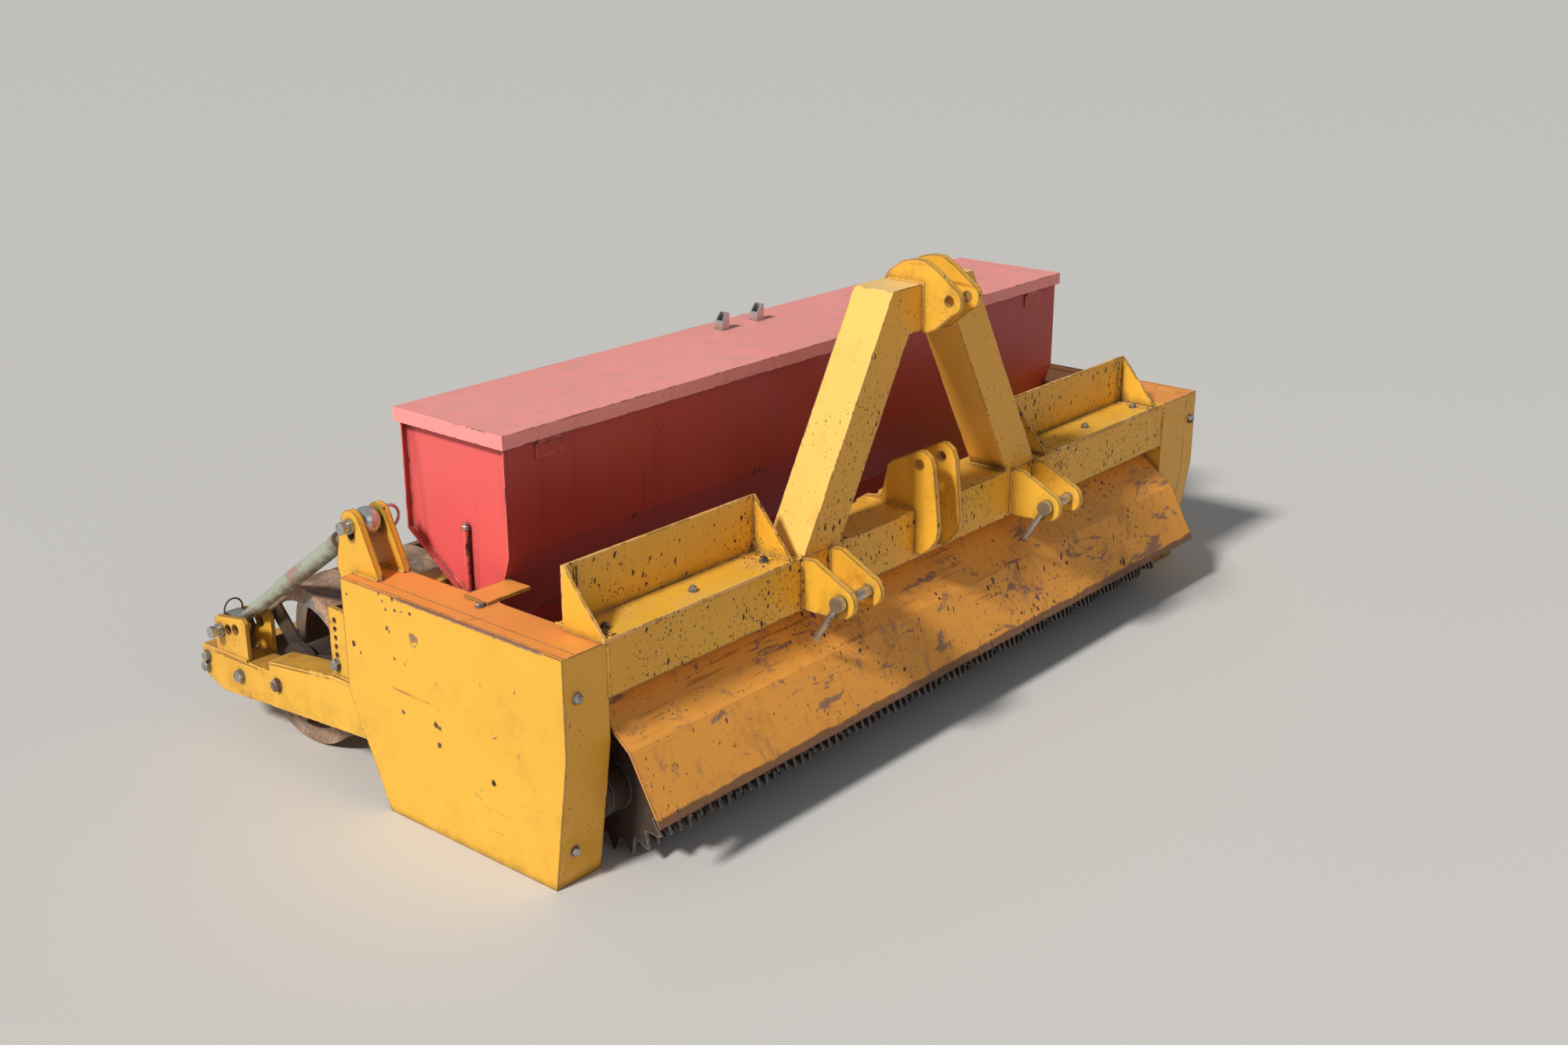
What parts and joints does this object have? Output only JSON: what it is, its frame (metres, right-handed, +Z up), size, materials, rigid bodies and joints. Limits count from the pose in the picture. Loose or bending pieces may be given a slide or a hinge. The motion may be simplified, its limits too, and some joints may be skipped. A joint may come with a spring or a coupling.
{
  "type": "tractor mounted seed drill with star rotor and rear roller",
  "caption": "Three-point mounted seed drill with a star tine rotor, a lidded seed hopper, screw links and a rear packer roller.",
  "frame": {"origin": "Middle of the overall box in X and Y, on the ground: the side panels' flat bottoms stand at Z 0.", "axes": "+X to the chain cover side (left in driving direction), -Y to the tractor, +Y to the roller, +Z up."},
  "size_m": [2.09, 1.172, 0.912],
  "materials": {
    "painted_yellow": "aged industrial yellow enamel, chipped to rust at the edges",
    "worn_yellow": "yellow enamel worn through to grey and brown steel",
    "faded_red": "faded red enamel, paler where the sun reaches it",
    "pale_red": "strongly faded red enamel",
    "bare_steel": "bare or zinc plated steel, dull",
    "rusty_steel": "bare steel, brown with rust and soil",
    "link_grey": "worn grey green paint"
  },
  "bodies": {
    "frame": {"front_beam": "painted_yellow", "rear_cross_tube": "painted_yellow", "right_side_panel": "painted_yellow", "left_side_panel": "painted_yellow", "chain_cover": "painted_yellow", "mast_legs": "painted_yellow", "mast_cheeks": "painted_yellow", "mast_packer": "rusty_steel", "lower_ears": "painted_yellow", "lower_link_pins": "bare_steel", "linch_rings": "bare_steel", "centre_plates": "worn_yellow", "weight_trays": "painted_yellow", "front_shield": "worn_yellow", "shield_stays": "worn_yellow", "rotor_bearings": "rusty_steel", "hopper_body": "faded_red", "lid_hinge_leaves": "faded_red", "hopper_straps": "faded_red", "strap_brackets": "faded_red", "hopper_feet": "painted_yellow", "metering_housing": "faded_red", "link_ears": "painted_yellow", "link_ear_pins": "bare_steel", "arm_pivots": "bare_steel"},
    "rotor": {"star_rotor": "rusty_steel"},
    "meter": {"metering_roller": "bare_steel"},
    "lid": {"hopper_lid": "pale_red", "lid_hinge_flaps": "faded_red", "lid_catches": "bare_steel"},
    "arms": {"right_arm": "painted_yellow", "left_arm": "painted_yellow", "arm_tabs": "painted_yellow", "arm_link_ears": "painted_yellow", "arm_link_pins": "bare_steel", "tie_bar": "painted_yellow", "roller_bearings": "rusty_steel"},
    "roller": {"rear_roller": "rusty_steel"},
    "link_tube_right": {"right_link_barrel": "link_grey"},
    "link_tube_left": {"left_link_barrel": "link_grey"},
    "link_screw_right": {"right_link_rod": "link_grey"},
    "link_screw_left": {"left_link_rod": "link_grey"}
  },
  "joints": [
    {"name": "rotor_spin", "type": "hinge", "parent": "frame", "child": "rotor", "pos_m": [-0.021, -0.408, 0.129], "axis": [1, 0, 0], "continuous": true},
    {"name": "meter_spin", "type": "hinge", "parent": "frame", "child": "meter", "pos_m": [-0.021, -0.094, 0.312], "axis": [1, 0, 0], "continuous": true},
    {"name": "lid_open", "type": "hinge", "parent": "frame", "child": "lid", "pos_m": [0.009, -0.166, 0.666], "axis": [1, 0, 0], "range_deg": [0, 100]},
    {"name": "arm_lift", "type": "hinge", "parent": "frame", "child": "arms", "pos_m": [-0.021, 0.004, 0.168], "axis": [1, 0, 0], "range_deg": [-4, 6]},
    {"name": "roller_spin", "type": "hinge", "parent": "arms", "child": "roller", "pos_m": [-0.021, 0.339, 0.161], "axis": [1, 0, 0], "continuous": true},
    {"name": "link_tilt_right", "type": "hinge", "parent": "frame", "child": "link_tube_right", "pos_m": [-0.964, 0.094, 0.512], "axis": [1, 0, 0], "range_deg": [-3.05, 4.55]},
    {"name": "link_length_right", "type": "slide", "parent": "link_tube_right", "child": "link_screw_right", "axis": [-0.0492, 0.807, -0.5885], "range_m": [-0.03538, 0.02375]},
    {"name": "link_tilt_left", "type": "hinge", "parent": "frame", "child": "link_tube_left", "pos_m": [0.922, 0.094, 0.512], "axis": [1, 0, 0], "range_deg": [-3.05, 4.55]},
    {"name": "link_length_left", "type": "slide", "parent": "link_tube_left", "child": "link_screw_left", "axis": [0.0492, 0.807, -0.5885], "range_m": [-0.03538, 0.02375]}
  ],
  "couplings": [
    {"joint": "link_tilt_right", "follows": "arm_lift", "ratio": 0.74936},
    {"joint": "link_length_right", "follows": "arm_lift", "m_per_rad": -0.33307},
    {"joint": "link_tilt_left", "follows": "arm_lift", "ratio": 0.74936},
    {"joint": "link_length_left", "follows": "arm_lift", "m_per_rad": -0.33307}
  ]
}
